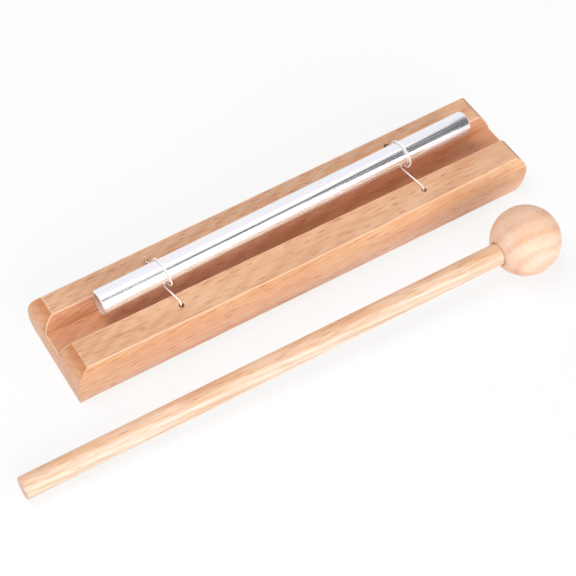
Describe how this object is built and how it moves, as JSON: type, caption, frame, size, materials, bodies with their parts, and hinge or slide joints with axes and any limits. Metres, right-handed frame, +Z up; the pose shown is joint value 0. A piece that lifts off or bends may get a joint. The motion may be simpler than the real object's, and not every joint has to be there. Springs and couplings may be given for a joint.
{
  "type": "chime bar",
  "caption": "Desk chime bar: a round aluminium bar hung in cord slings over a grooved beech base, with a wooden ball mallet beside it.",
  "frame": {"origin": "on the base's underside, half way along it and under the middle of its groove", "axes": "+X along the base to the right as seen from the mallet's side, +Y to the back, +Z up from the table"},
  "size_m": [0.2461, 0.0876, 0.0313],
  "materials": {
    "beech": "sanded and oiled",
    "aluminium": "drawn and polished",
    "cord": "white twisted cord",
    "pale_wood": "turned and sanded"
  },
  "bodies": {
    "base": {"base_block": "beech", "left_cord": "cord", "right_cord": "cord", "left_front_knot": "cord", "left_back_knot": "cord", "right_front_knot": "cord", "right_back_knot": "cord", "left_cord_tail": "cord"},
    "chime": {"chime_rod": "aluminium"},
    "mallet": {"mallet_head": "pale_wood", "mallet_handle": "pale_wood"}
  },
  "joints": [
    {"name": "chime_slide", "type": "slide", "parent": "base", "child": "chime", "axis": [0.9996, 0.029, 0], "range_m": [-0.02, 0.02]},
    {"name": "mallet_lift", "type": "slide", "parent": "base", "child": "mallet", "axis": [0, 0, 1], "range_m": [0, 0.15]}
  ]
}
